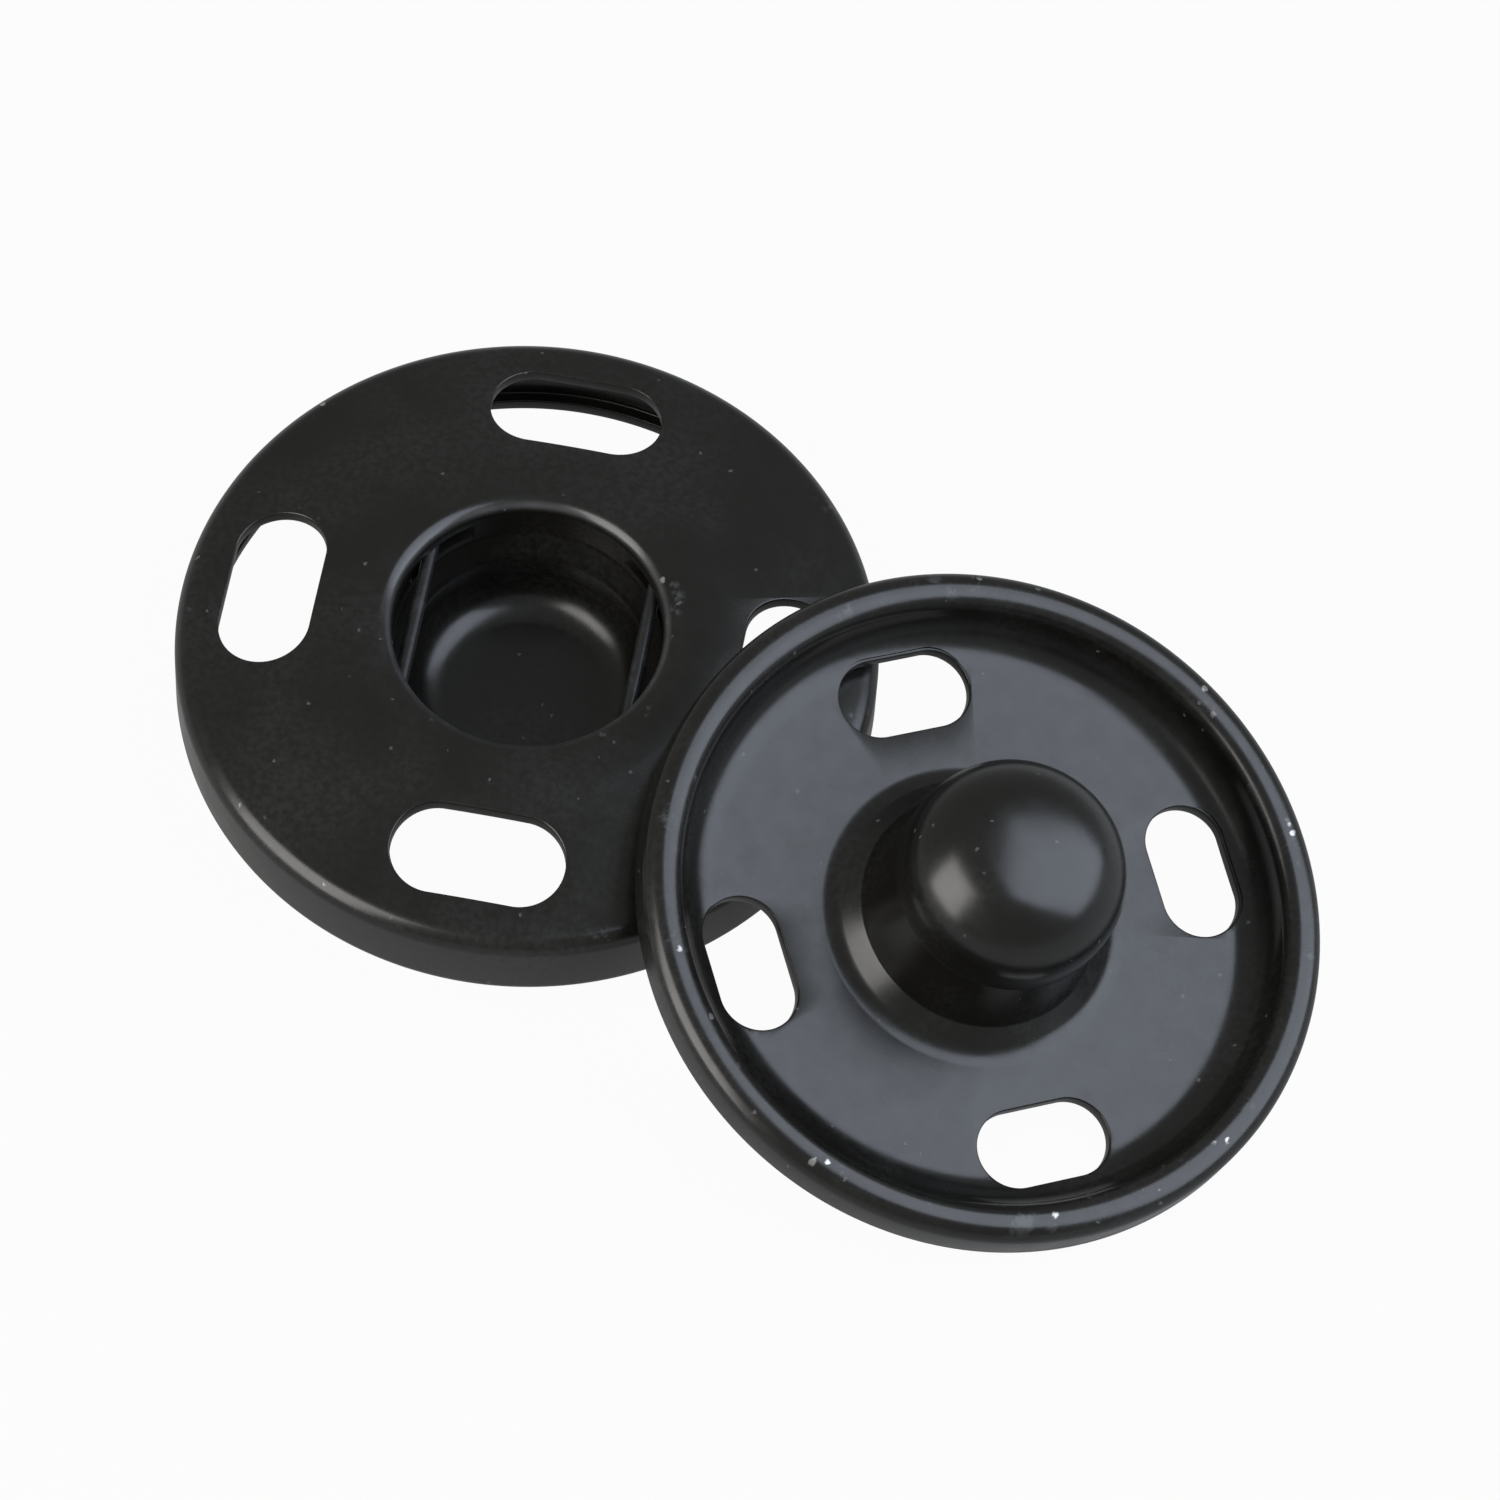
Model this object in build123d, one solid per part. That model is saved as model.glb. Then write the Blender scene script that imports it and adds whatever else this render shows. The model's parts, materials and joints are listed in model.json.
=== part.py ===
"""Sew-on snap fastener, 12 mm: a socket half with its spring wire, and a ball stud half leaning on it.

Millimetres, +Z up. The origin is the centre of the cup's flat underside, on the surface that both
halves lie on. +X runs from the socket half towards the stud half.
"""
from build123d import *
import math
import os

# Outer sizes, and the sheet that both halves are drawn from
SOCKET_R = 6.0         # outer radius of the socket half
STUD_INSET = 0.07      # how much smaller the stud half's outer radius is
SHEET = 0.25           # thickness of the metal sheet
WIRE = 0.25            # diameter of the spring wire

# Ball stud: head, neck and collar
HEAD_R = 1.88          # largest radius of the ball head
CROWN_FLAT = 0.15      # radius of the flat at the very top of the head
HEAD_BAND = 0.17       # height of the widest band, under the crown
UNDERCUT_STEP = 0.25   # how far the neck lies inside the head
UNDERCUT_DROP = 0.20   # height of the slope from head to neck
UNDERCUT_BEND = 0.05   # inside bend at the head's lower edge
NECK_H = 0.73          # height of the neck
NECK_BEND = 0.15       # bends at both ends of the neck
COLLAR_W = 0.66        # width of the collar's shoulder
COLLAR_H = 0.75        # height of the shoulder's edge above the floor
COLLAR_RISE = 0.22     # how much the shoulder rises from its edge to the neck
COLLAR_FLARE = 0.15    # how much wider the collar is at its foot
COLLAR_BEND = 0.05     # inside bend at the shoulder
COLLAR_FOOT_BEND = 0.25

# Rolled rim of the stud half
BEAD_H = 0.90          # crest of the bead above the floor
BEAD_GAP = 0.14        # gap between the wall and the skirt of the bead
CREST_FLAT = 0.02      # flat left on the crest of the bead
BEAD_END = 0.12        # lower edge of the bead above the floor
WALL_BEND = 0.42       # inside bend between floor and wall

# Socket half: cup, lip, plate and skirt
GUIDE_CLEARANCE = 0.17  # between the head and the lower wall of the cup, which guides it
MOUTH_CLEARANCE = 0.42  # between the head and the wider mouth
CUP_BEND = 0.65        # inside bend round the cup's floor
GUIDE_H = 0.50         # height of the lower wall, from that bend to the flare
FLARE_H = 0.45         # height over which the cup widens to its mouth
FLARE_BEND = 0.25      # inside bends at both ends of the flare
CUP_DROP = 0.60        # how far the cup stands out below the skirt
LIP_BEND = 0.10        # inside bend of the lip round the mouth
LIP_LAND = 0.03        # straight wall between the slits and the lip
LIP_RING = 0.45        # flat ring between the lip and the sloping plate
PLATE_BEND = 2.25      # inside bend where the plate starts to slope
SKIRT_H = 1.55         # height of the skirt
RIM_BEND = 0.10        # inside bend between plate and skirt
HEM = 0.45             # how far the skirt's hem is turned in
HEM_BEND = 0.05        # inside bend of the hem

# Spring wire
SPRING_GRIP = 0.055    # how far each leg reaches in past the head's largest radius
SPRING_LIFT = 0.04     # middle of the legs above the head's widest band, when closed
SPRING_BEND = 0.30     # bend between a leg and the bow, at the wire's middle
SPRING_CLEARANCE = 0.06  # between the bow and the outside of the cup
SPRING_TAIL = 25.0     # degrees that the free ends wrap round the cup
SLIT_CLEARANCE = 0.03  # above and below the wire in the cup's slits
SLIT_END = 0.10        # length of a slit past the end of the leg

# Sewing slots
SLOT_COUNT = 4
SOCKET_SLOT = (2.98, 1.56)   # length and width
SOCKET_SLOT_INSET = 0.80     # from the outer radius to the slots
STUD_SLOT = (2.36, 1.36)
STUD_SLOT_INSET = 0.54       # from the wall to the slots

# How the two halves lie
SOCKET_TURN = 22.6     # degrees from +X to the middle of the first slot
STUD_TURN = 51.1
OVERLAP = 2.98         # the stud half covers this much of the socket half
SEAT_GAP = 0.01        # clearance where one half leans on the other

# Stud half, worked out. Heights are above its floor's upper face.
stud_r = SOCKET_R - STUD_INSET
crown_bend = HEAD_R - CROWN_FLAT - SHEET
head_h = HEAD_R - CROWN_FLAT + HEAD_BAND
neck_r = HEAD_R - UNDERCUT_STEP
collar_r = neck_r + COLLAR_W
head_z = COLLAR_H + COLLAR_RISE + NECK_H + UNDERCUT_DROP
tip_z = head_z + head_h
bead_w = 2 * SHEET + BEAD_GAP
bead_bend = (BEAD_GAP - CREST_FLAT) / 2
wall_r = stud_r - bead_w
stud_slot_r = wall_r - STUD_SLOT_INSET - STUD_SLOT[1] / 2

# Spring wire and socket half, worked out. Heights are above the cup's underside.
guide_r = HEAD_R + GUIDE_CLEARANCE
mouth_r = HEAD_R + MOUTH_CLEARANCE
flare_z = SHEET + CUP_BEND + GUIDE_H
leg_x = HEAD_R - SPRING_GRIP + WIRE / 2
leg_z = SHEET + head_h + SPRING_LIFT
bow_r = mouth_r + SHEET + SPRING_CLEARANCE + WIRE / 2
leg_end_y = math.sqrt((bow_r - SPRING_BEND) ** 2 - (leg_x - SPRING_BEND) ** 2)
leg_turn = math.degrees(math.atan2(leg_end_y, leg_x - SPRING_BEND))
slit_h = WIRE + 2 * SLIT_CLEARANCE
lip_z = leg_z + slit_h / 2 + LIP_LAND + LIP_BEND + SHEET
ring_r = mouth_r + SHEET + LIP_BEND + LIP_RING
rim_z = CUP_DROP + SKIRT_H
plate_slope = math.atan2(lip_z - rim_z, SOCKET_R - ring_r)
socket_slot_r = SOCKET_R - SOCKET_SLOT_INSET - SOCKET_SLOT[1] / 2


def bent_sheet(corners, bends):
    """Turn a bent sheet about Z, from the corners of one face and the inside radius of each bend.

    The corners are (radius, height) from the axis outwards, and the sheet lies to the right of them.
    """
    points = [Vector(*corner) for corner in corners]
    runs = [(b - a).normalized() for a, b in zip(points, points[1:])]
    rights = [Vector(run.Y, -run.X) for run in runs]
    back = [points[0] + rights[0] * SHEET]
    face_radii = []
    back_radii = []
    for i, bend in enumerate(bends):
        before, after = rights[i], rights[i + 1]
        back.append(points[i + 1] + (before + after) * (SHEET / (1 + before.dot(after))))
        turns_left = runs[i].cross(runs[i + 1]).Z > 0
        face_radii.append(bend if turns_left else bend + SHEET)
        back_radii.append(bend + SHEET if turns_left else bend)
    back.append(points[-1] + rights[-1] * SHEET)
    outline = [
        FilletPolyline(*points, radius=face_radii),
        Line(points[-1], back[-1]),
        FilletPolyline(*back, radius=back_radii),
        Line(points[0], back[0]),
    ]
    section = make_face([edge for piece in outline for edge in piece.edges()])
    return revolve(Plane.XZ * section, Axis.Z)


def sewing_slots(size, middle_r):
    """Cutters for the ring of slots, long sides along the rim, the first one on +X."""
    cutter = extrude(SlotOverall(*size, rotation=90), amount=middle_r, both=True)
    return [place * cutter for place in PolarLocations(middle_r, SLOT_COUNT)]


def socket_half():
    """Cup, lip, plate, skirt and hem drawn from one sheet, with the spring's slits and four slots."""
    body = bent_sheet(
        [
            (0, SHEET),
            (guide_r, SHEET),
            (guide_r, flare_z),
            (mouth_r, flare_z + FLARE_H),
            (mouth_r, lip_z),
            (ring_r, lip_z),
            (SOCKET_R, rim_z),
            (SOCKET_R, CUP_DROP),
            (SOCKET_R - HEM, CUP_DROP),
        ],
        [CUP_BEND, FLARE_BEND, FLARE_BEND, LIP_BEND, PLATE_BEND, RIM_BEND, HEM_BEND],
    )
    slit_inner_x = leg_x / 2
    slit = Box(bow_r - slit_inner_x, 2 * (leg_end_y + SLIT_END), slit_h)
    slit_x = (bow_r + slit_inner_x) / 2
    body -= [Pos(side * slit_x, 0, leg_z) * slit for side in (-1, 1)]
    return body - sewing_slots(SOCKET_SLOT, socket_slot_r)


def spring_wire():
    """Horseshoe of wire: a bow round the cup, a leg through each slit, and two short free ends."""
    bow = JernArc((0, bow_r), (1, 0), bow_r, leg_turn - 90)
    shoulder = JernArc(bow @ 1, bow % 1, SPRING_BEND, -leg_turn)
    leg = Line(shoulder @ 1, (leg_x, -leg_end_y))
    heel = JernArc(leg @ 1, leg % 1, SPRING_BEND, -leg_turn)
    tail = JernArc(heel @ 1, heel % 1, bow_r, -SPRING_TAIL)
    half = [piece.edge() for piece in (bow, shoulder, leg, heel, tail)]
    path = Wire(half + [mirror(edge, Plane.YZ).edge() for edge in half])
    end = Plane(tail @ 1, z_dir=tail % 1)
    return Pos(0, 0, leg_z) * sweep(end * Circle(WIRE / 2), path)


def stud_half():
    """Ball head, neck, collar, floor and rolled rim drawn from one sheet, with four slots."""
    body = bent_sheet(
        [
            (0, tip_z),
            (HEAD_R, tip_z),
            (HEAD_R, head_z),
            (neck_r, head_z - UNDERCUT_DROP),
            (neck_r, COLLAR_H + COLLAR_RISE),
            (collar_r, COLLAR_H),
            (collar_r + COLLAR_FLARE, 0),
            (wall_r, 0),
            (wall_r, BEAD_H),
            (stud_r, BEAD_H),
            (stud_r, BEAD_END),
        ],
        [
            crown_bend,
            UNDERCUT_BEND,
            NECK_BEND,
            NECK_BEND,
            COLLAR_BEND,
            COLLAR_FOOT_BEND,
            WALL_BEND,
            bead_bend,
            bead_bend,
        ],
    )
    return body - sewing_slots(STUD_SLOT, stud_slot_r)


def resting_place():
    """Place of the stud half: its far edge on the surface, its underside on the socket half's plate.

    The underside is a flat between two round feet. It turns up about the far foot until it just
    clears each round of the socket half's section, and the slope between two of them.
    """
    foot_bend = WALL_BEND + SHEET
    foot_r = wall_r - WALL_BEND
    foot_z = WALL_BEND
    foot_x = SOCKET_R - OVERLAP + stud_r + foot_r
    span = 2 * foot_r
    rim_bend = RIM_BEND + SHEET
    plate_bend = PLATE_BEND + SHEET
    rim_centre_z = rim_z - rim_bend * math.tan(math.pi / 4 - plate_slope / 2)
    rounds = [
        (SOCKET_R - rim_bend, rim_centre_z, rim_bend),
        (ring_r - plate_bend * math.tan(plate_slope / 2), lip_z - plate_bend, plate_bend),
    ]
    leans = []
    for x, z, bend in rounds:
        away = math.hypot(foot_x - x, z - foot_bend)
        rise = math.atan2(z - foot_bend, foot_x - x)
        clear = bend + foot_bend + SEAT_GAP
        if math.sqrt(away**2 - clear**2) <= span:
            leans.append(rise + math.asin(clear / away))
        elif away - span < clear:
            leans.append(rise + math.acos((span**2 + away**2 - clear**2) / (2 * span * away)))
    out, up = math.sin(plate_slope), math.cos(plate_slope)
    lift = foot_bend + SEAT_GAP - out * (foot_x - SOCKET_R) - up * (foot_bend - rim_z)
    on_slope = plate_slope + math.asin(lift / span)
    if ring_r < foot_x - span * math.cos(on_slope) < SOCKET_R - rim_bend:
        leans.append(on_slope)
    lean = max(leans)
    x = foot_x - foot_r * math.cos(lean) - foot_z * math.sin(lean)
    z = foot_bend + foot_r * math.sin(lean) - foot_z * math.cos(lean)
    return Location((x, 0, z), (0, math.degrees(lean), 0))


socket_turn = Rot(0, 0, SOCKET_TURN)
parts = {
    "socket_half": socket_turn * socket_half(),
    "spring_wire": socket_turn * spring_wire(),
    "stud_half": resting_place() * Rot(0, 0, STUD_TURN) * stud_half(),
}

os.makedirs("parts", exist_ok=True)
for name, shape in parts.items():
    export_step(shape, f"parts/{name}.step")
print("stud half lies at", resting_place())
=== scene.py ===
"""Looks of a black sew-on snap fastener: socket half, spring wire and ball stud half, with their stage.

Metres, in the frame of the loaded model. Each half is drawn from one sheet: its face is drawn as a
line, rounded at its bends, spun about the axis, given the thickness of the sheet, and punched.
"""

import json
import math

import bpy
from mathutils import Matrix, Vector


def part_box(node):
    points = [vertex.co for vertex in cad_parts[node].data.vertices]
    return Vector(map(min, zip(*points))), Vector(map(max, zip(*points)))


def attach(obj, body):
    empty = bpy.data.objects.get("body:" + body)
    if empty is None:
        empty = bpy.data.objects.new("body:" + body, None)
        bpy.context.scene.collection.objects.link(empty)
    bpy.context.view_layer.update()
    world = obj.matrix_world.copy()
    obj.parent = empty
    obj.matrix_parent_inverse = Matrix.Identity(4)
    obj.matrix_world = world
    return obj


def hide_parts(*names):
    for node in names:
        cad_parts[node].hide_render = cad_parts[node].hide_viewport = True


bl_info = {
    "name": "Sew-on snap fastener",
    "version": (1, 0, 0),
    "blender": (4, 5, 0),
    "location": "View3D > Sidebar > Snap",
    "description": "Models and finishes the two halves of a black sew-on snap fastener",
    "category": "Object",
}

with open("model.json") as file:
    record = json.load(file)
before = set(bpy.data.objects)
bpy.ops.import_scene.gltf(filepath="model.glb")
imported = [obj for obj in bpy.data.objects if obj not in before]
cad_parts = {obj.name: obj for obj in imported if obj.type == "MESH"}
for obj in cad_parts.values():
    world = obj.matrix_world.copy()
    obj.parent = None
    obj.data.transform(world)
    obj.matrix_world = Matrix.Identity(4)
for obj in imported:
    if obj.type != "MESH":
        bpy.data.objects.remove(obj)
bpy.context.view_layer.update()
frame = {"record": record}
MOUNTS = {mount["name"]: mount for mount in frame["record"]["mounts"]}

MM = 0.001
SEGMENTS = 256           # steps of a full turn
BEND_SEGMENTS = 8        # steps of a bend in the sheet
ROUND_STEPS = 3          # steps of a rounded cut edge
WIRE_SIDES = 24          # sides of the wire's section
BOW_STEPS = 24           # steps of half the wire's bow
WIRE_BEND_STEPS = 16     # steps of each bend and of each free end of the wire
SLOT_COUNT = 4
SIDE_CUTS = 15           # cuts along a slot's straight side, so that it follows a sloping sheet
PUNCH_REACH = 0.2 * MM   # how far a punch reaches past both faces of the sheet
PUNCH_SIDES = 66         # sides of a slot's two round ends together, with no point on its middle line
HAIR = 1e-7              # points nearer than this are one point
SEAM_HAIR = HAIR * 10    # the same, where the wire meets its mirrored half
CROWN_SPARE = 1.01       # how much longer the crown's flat line is than its bend needs
CUT_ANGLE = 60           # degrees; sharper corners of the sheet are cut edges
SMOOTH_ANGLE = 35        # degrees; corners below it are shaded smooth

# Patterns in the finish, in features per metre
CLOUD_SCALE = 420.0
RUBBED_SCALE = 1500.0
MOTTLE_SCALE = 2400.0
WIRE_SCALE = 2600.0
CHIP_SCALE = 4200.0
DUST_SCALE = 5200.0
WIRE_GRAIN_SCALE = 6000.0
WIRE_BUMP_SCALE = 8000.0
GRAIN_SCALE = 9000.0

# Wear, and a painted highlight line round one edge, as places and reaches on the halves
RAGGED = 0.12 * MM         # how far the grain pulls the edges of dust and chips about
LIP_WEAR = 0.25 * MM       # reach of the chips round the lip
RIM_WEAR = 0.30 * MM       # reach of the chips round the plate's rim
RIM_WEAR_IN = 0.10 * MM    # how far inside the outer radius the middle of those chips lies
BEAD_WEAR = 0.35 * MM      # reach of the chips on the bead
LIP_HIGHLIGHT_OUT = 0.07 * MM   # how far outside the mouth the painted highlight round the lip lies
LIP_HIGHLIGHT_DOWN = 0.09 * MM  # how far below the lip's top that is
HIGHLIGHT_WIDE = 0.10 * MM      # half the width of the painted highlight line that runs all round an edge
HIGHLIGHT_HIGH = 0.14 * MM      # half its height

# How far each kind of mark takes the paint towards the dust's colour
DUST_WEIGHT = 0.40
RUBBED_WEIGHT = 0.30
HAZE_WEIGHT = 0.05
PAINT_CLOUDS = 1.25      # how much lighter the paint is in its cloudy parts
WIRE_RUBBED = 3          # how much lighter the wire is where it is rubbed
GLOSS_IOR = 1.5          # refractive index of the paint and of the wire's black finish

CAMERA_PLACE = Vector((39.614, -63.056, 130.270)) * MM
CAMERA_TURN = (math.radians(29.444), math.radians(-2.075), math.radians(32.796))
CAMERA_LENS = 208.97
CAMERA_NEAR = 10 * MM    # nothing nearer to the camera than this shows
AIM = Vector((5, 0, 2)) * MM
# Soft boxes as (name, degrees round from +X, degrees up, distance, width, height, brightness, colour)
LAMPS = [
    ("soft_box_right", 27, 42, 90 * MM, 88 * MM, 110 * MM, 3.55, (0.78, 0.86, 1.0)),
    ("soft_box_left", 240, 29, 80 * MM, 56 * MM, 70 * MM, 5.0, (1.0, 0.98, 0.96)),
]
TABLE_SIDE = 1200 * MM
TABLE_WHITE = 0.96       # share of the table's colour that is plain white to the camera
TABLE_MIRRORED = 0.22    # how much of that white a reflection sees


def box_size(node):
    """Size of a CAD node along X, Y and Z."""
    low, high = (Vector(corner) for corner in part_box(node))
    return high - low


def length(name, description, default):
    """A length that the user can change."""
    return bpy.props.FloatProperty(
        name=name, description=description, default=default, min=0.0, unit="LENGTH", precision=6
    )


def angle(name, description, default):
    """An angle that the user can change, given in degrees."""
    return bpy.props.FloatProperty(
        name=name, description=description, default=math.radians(default), subtype="ANGLE"
    )


def colour(name, description, default):
    """A linear colour that the user can change."""
    return bpy.props.FloatVectorProperty(
        name=name, description=description, default=default, size=3, min=0.0, max=1.0, subtype="COLOR"
    )


class SnapSheetSizes(bpy.types.PropertyGroup):
    """Sheet and wire"""

    sheet: length("Sheet", "Thickness of the sheet", 0.25 * MM)
    edge_round: length("Edge round", "Rounding of the sheet's cut edges", 0.03 * MM)
    wire: length("Wire", "Diameter of the spring wire", 0.25 * MM)


class SnapSocketSizes(bpy.types.PropertyGroup):
    """Socket half"""

    radius: length("Radius", "Outer radius", box_size("socket_half").x / 2)
    guide_r: length("Guide", "Radius of the cup's lower wall", 2.05 * MM)
    cup_bend: length("Cup bend", "Bend round the cup's floor", 0.65 * MM)
    flare_z: length("Flare start", "Height where the cup widens", 1.40 * MM)
    flare_h: length("Flare", "Height over which the cup widens", 0.45 * MM)
    flare_bend: length("Flare bend", "Bends at both ends of the flare", 0.25 * MM)
    mouth_r: length("Mouth", "Radius of the cup's mouth", 2.30 * MM)
    lip_z: length("Lip", "Height of the lip", box_size("socket_half").z)
    lip_bend: length("Lip bend", "Inside bend of the lip", 0.02 * MM)
    ring_r: length("Ring", "Radius where the plate starts to slope", 3.10 * MM)
    plate_bend: length("Plate bend", "Bend where the plate starts to slope", 2.25 * MM)
    rim_z: length("Rim", "Height of the plate's rim", 2.15 * MM)
    rim_bend: length("Rim bend", "Inside bend between plate and skirt", 0.10 * MM)
    skirt_z: length("Skirt", "Height of the skirt's lower edge", 0.60 * MM)
    hem: length("Hem", "How far the skirt's hem is turned in", 0.45 * MM)
    hem_bend: length("Hem bend", "Inside bend of the hem", 0.05 * MM)
    slot_length: length("Slot length", "Length of a sewing slot", 2.98 * MM)
    slot_width: length("Slot width", "Width of a sewing slot", 1.56 * MM)
    slot_r: length("Slot place", "Radius of the slots' middle", 4.42 * MM)
    turn: angle("Turn", "Turn of the first slot from +X", 22.6)


class SnapStudSizes(bpy.types.PropertyGroup):
    """Ball stud half, in heights above its floor's upper face"""

    radius: length("Radius", "Outer radius", box_size("stud_half").y / 2)
    head_r: length("Head", "Largest radius of the head", 1.91 * MM)
    tip_z: length("Tip", "Height of the head's top", 3.72 * MM)
    crown_bend: length("Crown bend", "Radius of the head's flatter crown", 3.9 * MM)
    crown_slope: angle("Crown slope", "Slope of the crown where the side's bend takes over", 11.2)
    side_bend: length("Side bend", "Bend between the head's crown and side", 1.34 * MM)
    head_z: length("Head edge", "Height of the head's lower edge", 1.75 * MM)
    undercut: length("Undercut", "How far the neck lies inside the head", 0.28 * MM)
    undercut_h: length("Undercut height", "Height of the slope under the head", 0.20 * MM)
    undercut_bend: length("Undercut bend", "Inside bend at the head's lower edge", 0.01 * MM)
    neck_bend: length("Neck bend", "Bend at the top of the neck", 0.24 * MM)
    collar_r: length("Collar", "Radius where the neck's cone meets the flared collar", 2.06 * MM)
    collar_h: length("Collar height", "Height where the neck's cone meets the flared collar", 0.34 * MM)
    collar_flare: length("Collar flare", "How much wider the collar is at its foot", 0.43 * MM)
    collar_bend: length("Collar bend", "Bend between the neck's cone and the collar", 0.10 * MM)
    foot_bend: length("Foot bend", "Bend at the collar's foot", 0.55 * MM)
    wall_bend: length("Wall bend", "Bend between floor and wall", 0.74 * MM)
    wall_slope: length("Wall slope", "How much narrower the wall is at its foot", 0.14 * MM)
    bead_w: length("Bead", "Width of the rolled bead", 0.64 * MM)
    bead_h: length("Bead height", "Height of the bead's crest", 0.90 * MM)
    bead_bend: length("Bead bend", "Inside bends of the bead", 0.06 * MM)
    bead_end: length("Bead end", "Height of the bead's lower edge", 0.12 * MM)
    slot_length: length("Slot length", "Length of a sewing slot", 2.36 * MM)
    slot_width: length("Slot width", "Width of a sewing slot", 1.36 * MM)
    slot_r: length("Slot place", "Radius of the slots' middle", 4.07 * MM)
    turn: angle("Turn", "Turn of the first slot in the stud half's own plane", 51.1)
    extra_lean: angle("Extra lean", "How much further it leans than its solid, to clear the rim", 0.55)


class SnapSpringSizes(bpy.types.PropertyGroup):
    """Spring wire"""

    leg_x: length("Leg", "Distance of each leg from the axis", 1.95 * MM)
    height: length("Height", "Height of the wire's middle", 2.19 * MM)
    bow_r: length("Bow", "Radius of the bow round the cup", 2.735 * MM)
    bend: length("Bend", "Bend between leg and bow", 0.30 * MM)
    tail: angle("Tail", "How far the free ends wrap round the cup", 25.0)
    slit_h: length("Slit", "Height of the cup's slits", 0.31 * MM)
    slit_end: length("Slit end", "Length of a slit past the end of the leg", 0.10 * MM)


class SnapFinish(bpy.types.PropertyGroup):
    """Colours of the finish and of the stage"""

    paint: colour("Paint", "Black paint", (0.0048, 0.0044, 0.0036))
    # the dust colour also paints the highlight line round the lip and round the head's lower edge
    dust: colour("Dust", "Fine dust and rubbed spots", (0.16, 0.16, 0.165))
    metal: colour("Metal", "Bare metal where the paint is rubbed", (0.42, 0.41, 0.40))
    wire: colour("Wire", "Blackened wire", (0.018, 0.018, 0.019))
    table: colour("Table", "Table top", (0.30, 0.30, 0.30))
    room: colour("Room", "Dim room above the table", (0.30, 0.31, 0.30))


def select_places(mesh_object, inside):
    """In edit mode, select the points whose place passes a test, and nothing else."""
    bpy.ops.mesh.select_mode(type="VERT")
    bpy.ops.mesh.select_all(action="DESELECT")
    bpy.ops.object.mode_set(mode="OBJECT")
    for vertex in mesh_object.data.vertices:
        vertex.select = inside(vertex.co)
    bpy.ops.object.mode_set(mode="EDIT")


def start_point(name, place):
    """Start a mesh as one point, in edit mode."""
    bpy.ops.object.select_all(action="DESELECT")
    bpy.ops.mesh.primitive_plane_add(size=MM)
    bpy.context.object.name = name
    bpy.ops.object.mode_set(mode="EDIT")
    bpy.ops.mesh.select_mode(type="VERT")
    bpy.ops.mesh.merge(type="CENTER")
    bpy.ops.transform.translate(value=place)
    return bpy.context.object


def draw_face(name, corners, bends):
    """Draw the face of a sheet from the axis outwards.

    bends holds (radius, steps) for each corner but the first and the last.
    """
    points = [Vector((radius, 0.0, height)) for radius, height in corners]
    drawn = start_point(name, points[0])
    for here, there in zip(points, points[1:]):
        bpy.ops.mesh.extrude_region_move(TRANSFORM_OT_translate={"value": there - here})
    for before, corner, after, (radius, steps) in zip(points, points[1:], points[2:], bends):
        turn = (corner - before).angle(after - corner)
        select_places(drawn, lambda place: (place - corner).length < HAIR)
        bpy.ops.mesh.bevel(offset=radius * math.tan(turn / 2), segments=steps, affect="VERTICES")
    return drawn


def add_modifier(kind, **settings):
    """Add a modifier to the active object, set it and apply it."""
    bpy.ops.object.modifier_add(type=kind)
    modifier = bpy.context.object.modifiers[-1]
    for key, value in settings.items():
        setattr(modifier, key, value)
    bpy.ops.object.modifier_apply(modifier=modifier.name)


def spin_sheet(drawn, sizes):
    """Spin a drawn face about the axis, give it the sheet's thickness and round its cut edge."""
    bpy.ops.mesh.select_all(action="SELECT")
    bpy.ops.mesh.spin(steps=SEGMENTS, angle=2 * math.pi, center=(0, 0, 0), axis=(0, 0, 1))
    bpy.ops.mesh.select_all(action="SELECT")
    bpy.ops.mesh.remove_doubles(threshold=HAIR)
    bpy.ops.mesh.normals_make_consistent(inside=False)
    bpy.ops.object.mode_set(mode="OBJECT")
    top = min(drawn.data.polygons, key=lambda face: face.center.xy.length)
    if top.normal.z < 0:
        drawn.data.flip_normals()
    add_modifier("SOLIDIFY", thickness=sizes.sheet, offset=-1.0, use_even_offset=True)
    add_modifier(
        "BEVEL",
        width=sizes.edge_round,
        segments=ROUND_STEPS,
        limit_method="ANGLE",
        angle_limit=math.radians(CUT_ANGLE),
    )


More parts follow.
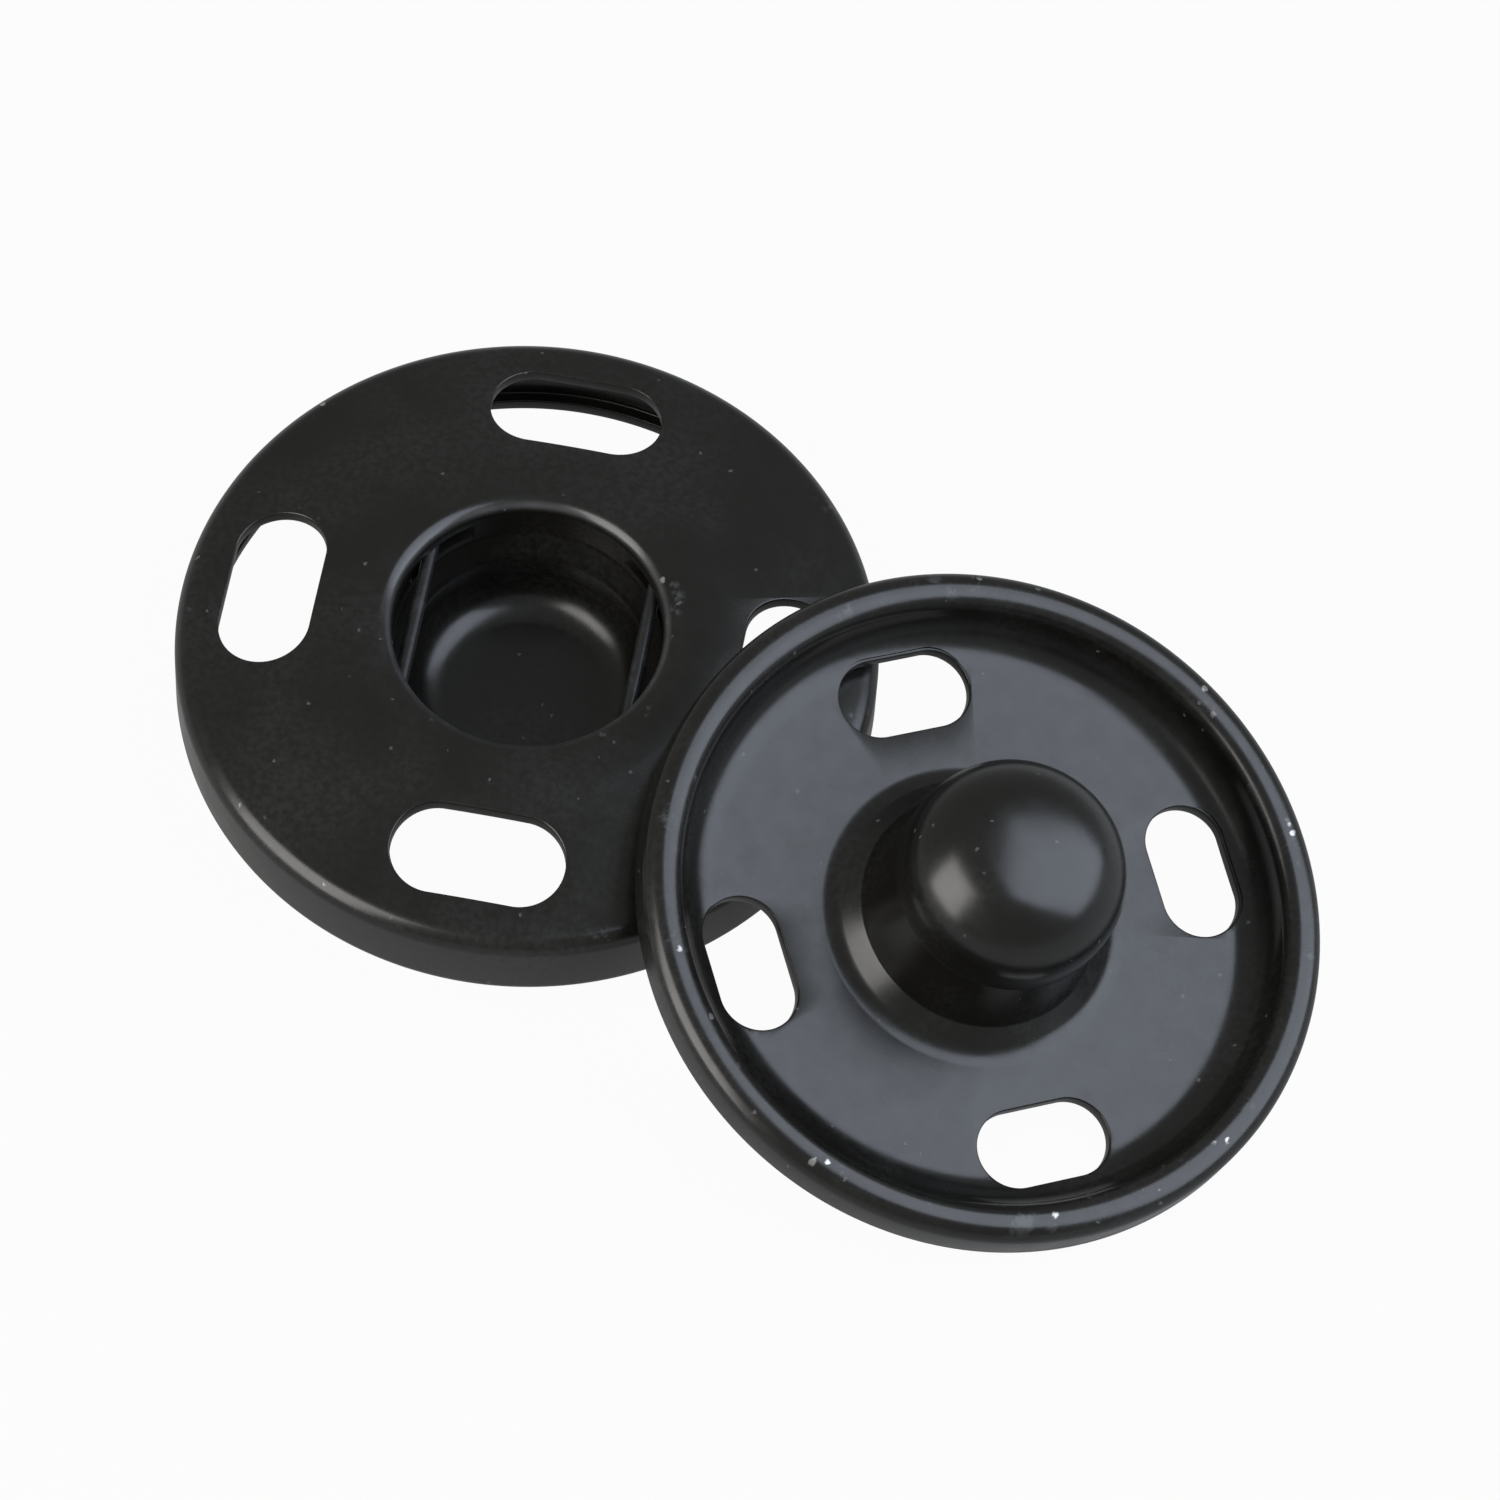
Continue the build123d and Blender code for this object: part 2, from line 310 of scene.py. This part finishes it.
def slot_punch(slot_length, slot_width, middle_r, high, thickness, slope, edge_round):
    """A cutter for one slot on +X, flared at both faces of the sheet so that it rounds their edges.

    high is the sheet's upper face at the slot's middle, and slope is how it falls outwards.
    """
    bpy.ops.object.select_all(action="DESELECT")
    turns = [step / ROUND_STEPS * math.pi / 2 for step in range(1, ROUND_STEPS + 1)]
    flare = [(edge_round * (1 - math.sin(turn)), edge_round * (1 - math.cos(turn))) for turn in turns]
    past = 2 * edge_round - flare[0][0]
    flare = [(past, -PUNCH_REACH), (past, -flare[0][1]), *flare]
    rings = [(wide, high - thickness + deep) for wide, deep in flare]
    rings += [(wide, high - deep) for wide, deep in reversed(flare)]
    half = slot_width / 2
    wide, height = rings[0]
    bpy.ops.mesh.primitive_circle_add(
        vertices=PUNCH_SIDES, radius=half + wide, fill_type="NGON", location=(0, 0, height)
    )
    punch = bpy.context.object
    bpy.ops.object.transform_apply()
    bpy.ops.object.mode_set(mode="EDIT")
    bpy.ops.mesh.select_all(action="SELECT")
    for (last_wide, last_height), (wide, height) in zip(rings, rings[1:]):
        bpy.ops.mesh.extrude_region_move(TRANSFORM_OT_translate={"value": (0, 0, height - last_height)})
        grow = (half + wide) / (half + last_wide)
        bpy.ops.transform.resize(value=(grow, grow, 1), center_override=(0, 0, height))
    for side in (-1, 1):
        select_places(punch, lambda place: place.y * side > 0)
        bpy.ops.transform.translate(value=(0, side * (slot_length - slot_width) / 2, 0))
    bpy.ops.mesh.select_mode(type="EDGE")
    bpy.ops.mesh.select_all(action="DESELECT")
    bpy.ops.object.mode_set(mode="OBJECT")
    points = punch.data.vertices
    for edge in punch.data.edges:
        start, end = (points[number].co for number in edge.vertices)
        edge.select = (start - end).length > (slot_length - slot_width) / 2
    bpy.ops.object.mode_set(mode="EDIT")
    bpy.ops.mesh.subdivide(number_cuts=SIDE_CUTS)
    bpy.ops.mesh.select_all(action="SELECT")
    bpy.ops.transform.translate(value=(middle_r, 0, 0))
    bpy.ops.object.mode_set(mode="OBJECT")
    for vertex in punch.data.vertices:
        vertex.co.z -= (vertex.co.xy.length - middle_r) * slope
    bpy.ops.object.mode_set(mode="EDIT")
    bpy.ops.mesh.select_all(action="SELECT")
    bpy.ops.mesh.quads_convert_to_tris()
    bpy.ops.mesh.normals_make_consistent(inside=False)
    bpy.ops.object.mode_set(mode="OBJECT")
    return punch


def punch_out(sheet_object, cutters):
    """Cut the cutters out of a sheet and remove them."""
    bpy.ops.object.select_all(action="DESELECT")
    for cutter in cutters:
        cutter.select_set(True)
    bpy.context.view_layer.objects.active = cutters[0]
    bpy.ops.object.join()
    joined = bpy.context.object
    bpy.ops.object.select_all(action="DESELECT")
    sheet_object.select_set(True)
    bpy.context.view_layer.objects.active = sheet_object
    add_modifier("BOOLEAN", object=joined, operation="DIFFERENCE", solver="EXACT")
    bpy.data.objects.remove(joined)


def ring_of(cutter):
    """The cutter and its copies, evenly round the axis."""
    cutters = [cutter]
    for number in range(1, SLOT_COUNT):
        copy = cutter.copy()
        copy.data = cutter.data.copy()
        bpy.context.collection.objects.link(copy)
        copy.data.transform(Matrix.Rotation(2 * math.pi * number / SLOT_COUNT, 4, "Z"))
        cutters.append(copy)
    return cutters


def finish_piece(made, place, material, node):
    """Shade a piece smooth, bring it to its place, give it its finish and hang it in the frame."""
    bpy.ops.object.select_all(action="DESELECT")
    made.select_set(True)
    bpy.context.view_layer.objects.active = made
    made.matrix_world = place
    bpy.ops.object.transform_apply()
    bpy.ops.object.shade_smooth_by_angle(angle=math.radians(SMOOTH_ANGLE))
    add_modifier("WEIGHTED_NORMAL", keep_sharp=True, weight=50)
    made.data.materials.clear()
    made.data.materials.append(material)
    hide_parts(node)
    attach(made, "root")


def stud_place():
    """Place of the stud half's floor: its middle and axis from the record, turned about that axis.

    Its height is worked out, so that the round foot of its wall touches the table.
    """
    sizes = bpy.context.scene.snap_stud
    mount = MOUNTS["stud_sewing_slots"]
    lean = math.atan2(mount["axis"][0], mount["axis"][2]) + sizes.extra_lean
    wall_turn = math.atan2(sizes.bead_h, sizes.wall_slope)
    foot_r = sizes.radius - sizes.bead_w - sizes.wall_slope - sizes.wall_bend * math.tan(wall_turn / 2)
    foot = sizes.wall_bend * (1 - math.cos(lean)) + bpy.context.scene.snap_sheet.sheet
    height = foot_r * math.sin(lean) + foot
    place = Matrix.Translation((mount["pos_m"][0], mount["pos_m"][1], height))
    return place @ Matrix.Rotation(lean, 4, "Y") @ Matrix.Rotation(sizes.turn, 4, "Z")


def socket_place():
    """Place of the socket half: upright on the origin, turned about its axis."""
    return Matrix.Rotation(bpy.context.scene.snap_socket.turn, 4, "Z")


class Value:
    """A value in a material: an output of a node, with sums on it written as plain Python."""

    def __init__(self, tree, socket=None):
        self.tree = tree
        self.socket = socket

    def node(self, kind, sockets, output=0, **settings):
        """Add a node, set its settings and its sockets, and return one of its outputs."""
        made = self.tree.nodes.new("ShaderNode" + kind)
        for key, value in settings.items():
            setattr(made, key, value)
        for key, value in sockets.items():
            if isinstance(value, Value):
                self.tree.links.new(value.socket, made.inputs[key])
            else:
                made.inputs[key].default_value = value
        return Value(self.tree, made.outputs[output]) if made.outputs else None

    def other(self, output):
        """Another output of the same node."""
        return Value(self.tree, self.socket.node.outputs[output])

    def sum(self, operation, *numbers):
        """A Math node on numbers or values."""
        return self.node("Math", dict(enumerate(numbers)), operation=operation)

    def most(self, other):
        """The larger of two values."""
        return self.sum("MAXIMUM", self, other)

    def __add__(self, other):
        return self.sum("ADD", self, other)

    __radd__ = __add__

    def __sub__(self, other):
        return self.sum("SUBTRACT", self, other)

    def __rsub__(self, other):
        return self.sum("SUBTRACT", other, self)

    def __mul__(self, other):
        return self.sum("MULTIPLY", self, other)

    __rmul__ = __mul__

    def step(self, start, end):
        """0 below start, 1 above end, smooth between."""
        return self.node("MapRange", {0: self, 1: start, 2: end}, interpolation_type="SMOOTHSTEP")

    def near(self, middle, reach):
        """1 where the value is middle, 0 where it is further off than reach."""
        return 1 - self.sum("ABSOLUTE", self - middle).step(0.0, reach)


def noise(coordinates, scale, detail=2.0, roughness=0.5):
    """Noise at a scale in features per metre, about 0.5."""
    return coordinates.node(
        "TexNoise", {"Vector": coordinates, "Scale": scale, "Detail": detail, "Roughness": roughness}
    )


def specks(coordinates, scale, share, size):
    """Spots: cells of the given scale, of which a share holds a spot of up to size of the cell."""
    cell = coordinates.node("TexVoronoi", {"Vector": coordinates, "Scale": scale, "Randomness": 1.0})
    chance = cell.node("SeparateColor", {0: cell.other("Color")})
    return (1 - cell.step(size * 0.5, size)) * chance.step(1 - share, 1 - share + 0.02)


def new_material(name):
    """A material with an empty node tree, and its Object coordinates."""
    material = bpy.data.materials.new(name)
    material.use_nodes = True
    material.node_tree.nodes.clear()
    coordinates = Value(material.node_tree).node("TexCoord", {}, output=3)
    return material, coordinates


def own_axes(coordinates, place):
    """Coordinates on the half's own axes, and the radius and height there."""
    inverse = place.inverted()
    turn = inverse.to_euler()
    own = coordinates.node(
        "Mapping",
        {"Vector": coordinates, "Location": inverse.translation, "Rotation": turn},
        vector_type="POINT",
    )
    across = own.node("SeparateXYZ", {0: own})
    along, height = across.other(1), across.other(2)
    radius = across.sum("SQRT", across * across + along * along)
    return own, radius, height


def mix_colour(factor, first, second):
    """Two colours mixed by a factor."""
    return factor.node("Mix", {0: factor, 6: first, 7: second}, output=2, data_type="RGBA")


def paint_material(name, place, worn, highlight_r, highlight_z):
    """Semi-gloss black paint with dust, fine mottling, rubbed rims and a painted highlight line all
    round one edge.

    worn lists the rims as (radius, height, reach) on the half's own axes, and highlight_r and
    highlight_z are the place of the one edge that gets a painted highlight all round.
    """
    finish = bpy.context.scene.snap_finish
    material, coordinates = new_material(name)
    own, radius, height = own_axes(coordinates, place)
    mottle = noise(own, MOTTLE_SCALE, detail=3.0)
    grain = noise(own, GRAIN_SCALE)
    cloud = noise(own, CLOUD_SCALE)
    rim = None
    for rim_r, rim_z, reach in worn:
        band = radius.near(rim_r, reach) * height.near(rim_z, reach)
        rim = band if rim is None else rim.most(band)
    # painted highlight: a thin lighter line all round one rounded edge, where light catches it
    painted_highlight = radius.near(highlight_r, HIGHLIGHT_WIDE) * height.near(highlight_z, HIGHLIGHT_HIGH) * (0.3 * mottle + 0.1)
    rubbed = rim * noise(own, RUBBED_SCALE, detail=4.0, roughness=0.7).step(0.60, 0.72)
    ragged = own.node("VectorMath", {0: own, 1: grain * RAGGED}, operation="ADD")
    dust = specks(ragged, DUST_SCALE, share=0.05, size=0.22)
    chips = rim * specks(ragged, CHIP_SCALE, share=0.08, size=0.30)
    haze = cloud.step(0.30, 0.75) * grain.step(0.30, 0.70)
    marks = (dust * DUST_WEIGHT).most(rubbed * RUBBED_WEIGHT).most(haze * HAZE_WEIGHT)
    lighter = [part * PAINT_CLOUDS for part in finish.paint]
    base = mix_colour(cloud.step(0.3, 0.7), (*finish.paint, 1), (*lighter, 1))
    # dust, rubbed spots, haze and the painted highlight line all take the dust's colour
    base = mix_colour(marks.most(painted_highlight), base, (*finish.dust, 1))
    base = mix_colour(chips, base, (*finish.metal, 1))
    roughness = 0.14 + 0.15 * mottle + 0.08 * cloud + 0.15 * marks
    bump = own.node(
        "Bump", {"Strength": 0.35, "Distance": 0.004 * MM, "Height": mottle * 0.7 + grain * 0.3}
    )
    shader = own.node(
        "BsdfPrincipled",
        {
            "Base Color": base,
            "Roughness": roughness,
            "Metallic": chips * 0.8,
            "Normal": bump,
            "IOR": GLOSS_IOR,
        },
    )
    shader.node("OutputMaterial", {"Surface": shader})
    return material


def wire_material(place):
    """Blackened spring wire, rubbed brighter in places."""
    finish = bpy.context.scene.snap_finish
    material, coordinates = new_material("blackened_wire")
    own, _, _ = own_axes(coordinates, place)
    worn = noise(own, WIRE_SCALE, detail=3.0).step(0.5, 0.7)
    lighter = [part * WIRE_RUBBED for part in finish.wire]
    base = mix_colour(worn, (*finish.wire, 1), (*lighter, 1))
    roughness = 0.20 + 0.12 * noise(own, WIRE_GRAIN_SCALE)
    bump = own.node(
        "Bump", {"Strength": 0.3, "Distance": 0.003 * MM, "Height": noise(own, WIRE_BUMP_SCALE)}
    )
    shader = own.node(
        "BsdfPrincipled",
        {
            "Base Color": base,
            "Roughness": roughness,
            "Metallic": 0.4 * worn + 0.2,
            "Normal": bump,
            "IOR": GLOSS_IOR,
        },
    )
    shader.node("OutputMaterial", {"Surface": shader})
    return material


class SNAP_OT_socket_half(bpy.types.Operator):
    """Cup, lip, plate, skirt and hem from one sheet, with the spring's slits and the sewing slots"""

    bl_idname = "snap.socket_half"
    bl_label = "Socket half"

    def execute(self, context):
        sizes = context.scene.snap_socket
        sheet = context.scene.snap_sheet
        spring = context.scene.snap_spring
        corners = [
            (0, sheet.sheet),
            (sizes.guide_r, sheet.sheet),
            (sizes.guide_r, sizes.flare_z),
            (sizes.mouth_r, sizes.flare_z + sizes.flare_h),
            (sizes.mouth_r, sizes.lip_z),
            (sizes.ring_r, sizes.lip_z),
            (sizes.radius, sizes.rim_z),
            (sizes.radius, sizes.skirt_z),
            (sizes.radius - sizes.hem, sizes.skirt_z),
        ]
        bends = [
            (sizes.cup_bend, BEND_SEGMENTS),
            (sizes.flare_bend + sheet.sheet, BEND_SEGMENTS),
            (sizes.flare_bend, BEND_SEGMENTS),
            (sizes.lip_bend + sheet.sheet, 2 * BEND_SEGMENTS),
            (sizes.plate_bend + sheet.sheet, BEND_SEGMENTS),
            (sizes.rim_bend + sheet.sheet, 2 * BEND_SEGMENTS),
            (sizes.hem_bend + sheet.sheet, BEND_SEGMENTS),
        ]
        drawn = draw_face("socket_half_sheet", corners, bends)
        spin_sheet(drawn, sheet)
        slope = (sizes.lip_z - sizes.rim_z) / (sizes.radius - sizes.ring_r)
        high = sizes.lip_z - (sizes.slot_r - sizes.ring_r) * slope
        thickness = sheet.sheet / math.cos(math.atan(slope))
        punch = slot_punch(
            sizes.slot_length, sizes.slot_width, sizes.slot_r, high, thickness, slope, sheet.edge_round
        )
        punch_out(drawn, ring_of(punch))
        reach = math.sqrt((spring.bow_r - spring.bend) ** 2 - (spring.leg_x - spring.bend) ** 2)
        inner_x = spring.leg_x / 2
        slits = []
        for side in (-1, 1):
            bpy.ops.object.select_all(action="DESELECT")
            bpy.ops.mesh.primitive_cube_add(
                size=1,
                location=(side * (spring.bow_r + inner_x) / 2, 0, spring.height),
                scale=(spring.bow_r - inner_x, 2 * (reach + spring.slit_end), spring.slit_h),
            )
            bpy.ops.object.transform_apply()
            slits.append(context.object)
        punch_out(drawn, slits)
        place = socket_place()
        worn = [
            (sizes.mouth_r + sheet.sheet, sizes.lip_z, LIP_WEAR),
            (sizes.radius - RIM_WEAR_IN, sizes.rim_z, RIM_WEAR),
        ]
        # painted highlight all round the lip, just outside the mouth and below the lip's top
        highlight_r = sizes.mouth_r + LIP_HIGHLIGHT_OUT
        highlight_z = sizes.lip_z - LIP_HIGHLIGHT_DOWN
        paint = paint_material("black_paint_socket", place, worn, highlight_r, highlight_z)
        finish_piece(drawn, place, paint, "socket_half")
        return {"FINISHED"}


class SNAP_OT_stud_half(bpy.types.Operator):
    """Ball head, neck, collar, floor and rolled rim from one sheet, with the sewing slots"""

    bl_idname = "snap.stud_half"
    bl_label = "Stud half"

    def execute(self, context):
        sizes = context.scene.snap_stud
        sheet = context.scene.snap_sheet
        wall_r = sizes.radius - sizes.bead_w
        neck_r = sizes.head_r - sizes.undercut
        crown_r = sizes.crown_bend * math.tan(sizes.crown_slope / 2) * CROWN_SPARE
        corners = [
            (0, sizes.tip_z),
            (crown_r, sizes.tip_z),
            (sizes.head_r, sizes.tip_z - (sizes.head_r - crown_r) * math.tan(sizes.crown_slope)),
            (sizes.head_r, sizes.head_z),
            (neck_r, sizes.head_z - sizes.undercut_h),
            (sizes.collar_r, sizes.collar_h),
            (sizes.collar_r + sizes.collar_flare, 0),
            (wall_r - sizes.wall_slope, 0),
            (wall_r, sizes.bead_h),
            (sizes.radius, sizes.bead_h),
            (sizes.radius, sizes.bead_end),
        ]
        bends = [
            (sizes.crown_bend, BEND_SEGMENTS),
            (sizes.side_bend, 4 * BEND_SEGMENTS),
            (sizes.undercut_bend + sheet.sheet, BEND_SEGMENTS),
            (sizes.neck_bend, BEND_SEGMENTS),
            (sizes.collar_bend, BEND_SEGMENTS),
            (sizes.foot_bend, BEND_SEGMENTS),
            (sizes.wall_bend, 2 * BEND_SEGMENTS),
            (sizes.bead_bend + sheet.sheet, 2 * BEND_SEGMENTS),
            (sizes.bead_bend + sheet.sheet, 2 * BEND_SEGMENTS),
        ]
        drawn = draw_face("stud_half_sheet", corners, bends)
        spin_sheet(drawn, sheet)
        punch = slot_punch(
            sizes.slot_length, sizes.slot_width, sizes.slot_r, 0.0, sheet.sheet, 0.0, sheet.edge_round
        )
        punch_out(drawn, ring_of(punch))
        place = stud_place()
        worn = [(sizes.radius - sizes.bead_w / 2, sizes.bead_h, BEAD_WEAR)]
        # the painted highlight line runs all round the head's lower edge, where glints fall
        paint = paint_material("black_paint_stud", place, worn, sizes.head_r, sizes.head_z)
        finish_piece(drawn, place, paint, "stud_half")
        return {"FINISHED"}


def spin_wire(middle, sweep, steps):
    """In edit mode, draw the open end of the wire on round an upright axis through a middle."""
    bpy.ops.mesh.spin(steps=steps, angle=sweep, center=middle, axis=(0, 0, 1))


class SNAP_OT_spring_wire(bpy.types.Operator):
    """Horseshoe of wire: a bow round the cup, a leg through each slit and two free ends"""

    bl_idname = "snap.spring_wire"
    bl_label = "Spring wire"

    def execute(self, context):
        sizes = context.scene.snap_spring
        sheet = context.scene.snap_sheet
        bend_x = sizes.leg_x - sizes.bend
        bend_y = math.sqrt((sizes.bow_r - sizes.bend) ** 2 - bend_x**2)
        leg_turn = math.atan2(bend_y, bend_x)
        bpy.ops.object.select_all(action="DESELECT")
        bpy.ops.mesh.primitive_circle_add(
            vertices=WIRE_SIDES,
            radius=sheet.wire / 2,
            fill_type="NOTHING",
            location=(0, sizes.bow_r, sizes.height),
            rotation=(0, math.pi / 2, 0),
        )
        wire = context.object
        wire.name = "spring_wire_bow"
        bpy.ops.object.transform_apply()
        bpy.ops.object.mode_set(mode="EDIT")
        bpy.ops.mesh.select_all(action="SELECT")
        cup_middle = (0, 0, sizes.height)
        spin_wire(cup_middle, math.pi / 2 - leg_turn, BOW_STEPS)
        spin_wire((bend_x, bend_y, sizes.height), leg_turn, WIRE_BEND_STEPS)
        bpy.ops.mesh.extrude_region_move(TRANSFORM_OT_translate={"value": (0, -2 * bend_y, 0)})
        spin_wire((bend_x, -bend_y, sizes.height), leg_turn, WIRE_BEND_STEPS)
        spin_wire(cup_middle, sizes.tail, WIRE_BEND_STEPS)
        bpy.ops.mesh.edge_face_add()
        bpy.ops.object.mode_set(mode="OBJECT")
        add_modifier("MIRROR", use_axis=(True, False, False), use_clip=True, merge_threshold=SEAM_HAIR)
        bpy.ops.object.mode_set(mode="EDIT")
        bpy.ops.mesh.select_all(action="SELECT")
        bpy.ops.mesh.normals_make_consistent(inside=False)
        bpy.ops.object.mode_set(mode="OBJECT")
        place = socket_place()
        finish_piece(wire, place, wire_material(place), "spring_wire")
        return {"FINISHED"}


def table_material():
    """Plain white table: white to the camera and in reflections, with the object's shadow on it."""
    material, coordinates = new_material("white_table")
    path = coordinates.node("LightPath", {})
    seen = path.most(path.other("Is Glossy Ray") * TABLE_MIRRORED)
    table = (*bpy.context.scene.snap_finish.table, 1)
    matte = path.node("BsdfDiffuse", {"Color": table})
    white = path.node("Emission", {"Color": (1, 1, 1, 1), "Strength": 1.0})
    mixed = path.node("MixShader", {0: seen * TABLE_WHITE, 1: matte, 2: white})
    mixed.node("OutputMaterial", {"Surface": mixed})
    return material


def lay_table():
    """The table top that the halves lie on."""
    bpy.ops.object.select_all(action="DESELECT")
    bpy.ops.mesh.primitive_plane_add(size=TABLE_SIDE)
    table = bpy.context.object
    table.name = "table_top"
    table.data.materials.append(table_material())


def dim_room():
    """A world that lights the halves dimly and is white to the camera."""
    world = bpy.data.worlds.new("dim_room")
    world.use_nodes = True
    world.node_tree.nodes.clear()
    start = Value(world.node_tree)
    path = start.node("LightPath", {})
    colour_of_room = (*bpy.context.scene.snap_finish.room, 1)
    room = start.node("Background", {"Color": colour_of_room, "Strength": 1.0})
    white = start.node("Background", {"Color": (1, 1, 1, 1), "Strength": 1.0})
    mixed = start.node("MixShader", {0: path, 1: room, 2: white})
    start.node("OutputWorld", {"Surface": mixed})
    return world


def hang_lamp(name, around, up, distance, wide, high, brightness, tint):
    """A soft box that faces the halves, from a row of LAMPS."""
    data = bpy.data.lights.new(name, "AREA")
    data.shape = "RECTANGLE"
    data.size = wide
    data.size_y = high
    data.color = tint
    data.energy = brightness * math.pi * wide * high
    lamp = bpy.data.objects.new(name, data)
    around, up = math.radians(around), math.radians(up)
    direction = Vector((math.cos(up) * math.cos(around), math.cos(up) * math.sin(around), math.sin(up)))
    lamp.location = AIM + direction * distance
    lamp.rotation_euler = direction.to_track_quat("Z", "Y").to_euler()
    bpy.context.collection.objects.link(lamp)


def photo_camera():
    """The camera, placed as the photo was taken."""
    camera = bpy.data.objects.new("camera", bpy.data.cameras.new("camera"))
    camera.data.lens = CAMERA_LENS
    camera.data.clip_start = CAMERA_NEAR
    camera.location = CAMERA_PLACE
    camera.rotation_euler = CAMERA_TURN
    bpy.context.collection.objects.link(camera)
    return camera


class SNAP_OT_stage(bpy.types.Operator):
    """White table, soft boxes, dim room and the camera"""

    bl_idname = "snap.stage"
    bl_label = "Stage"

    def execute(self, context):
        lay_table()
        scene = context.scene
        scene.world = dim_room()
        for lamp in LAMPS:
            hang_lamp(*lamp)
        scene.camera = photo_camera()
        scene.view_settings.view_transform = "Standard"
        return {"FINISHED"}


OPERATORS = (SNAP_OT_socket_half, SNAP_OT_spring_wire, SNAP_OT_stud_half, SNAP_OT_stage)
GROUPS = {
    "snap_sheet": SnapSheetSizes,
    "snap_socket": SnapSocketSizes,
    "snap_stud": SnapStudSizes,
    "snap_spring": SnapSpringSizes,
    "snap_finish": SnapFinish,
}


class SNAP_PT_panel(bpy.types.Panel):
    """Lists the pieces and the stage, and the sizes and colours that they are made from"""

    bl_label = "Snap fastener"
    bl_idname = "SNAP_PT_panel"
    bl_space_type = "VIEW_3D"
    bl_region_type = "UI"
    bl_category = "Snap"

    def draw(self, context):
        for operator in OPERATORS:
            self.layout.operator(operator.bl_idname)
        for name, group in GROUPS.items():
            column = self.layout.box().column()
            column.label(text=group.__doc__)
            for size in group.__annotations__:
                column.prop(getattr(context.scene, name), size)


def register():
    """Register the sizes, the operators and the panel."""
    for name, group in GROUPS.items():
        bpy.utils.register_class(group)
        setattr(bpy.types.Scene, name, bpy.props.PointerProperty(type=group))
    for operator in OPERATORS:
        bpy.utils.register_class(operator)
    bpy.utils.register_class(SNAP_PT_panel)


def unregister():
    """Take everything back out."""
    bpy.utils.unregister_class(SNAP_PT_panel)
    for operator in reversed(OPERATORS):
        bpy.utils.unregister_class(operator)
    for name, group in GROUPS.items():
        delattr(bpy.types.Scene, name)
        bpy.utils.unregister_class(group)


def main():
    """Make every piece and the stage."""
    register()
    bpy.ops.snap.socket_half()
    bpy.ops.snap.spring_wire()
    bpy.ops.snap.stud_half()
    bpy.ops.snap.stage()


if __name__ == "__main__":
    main()
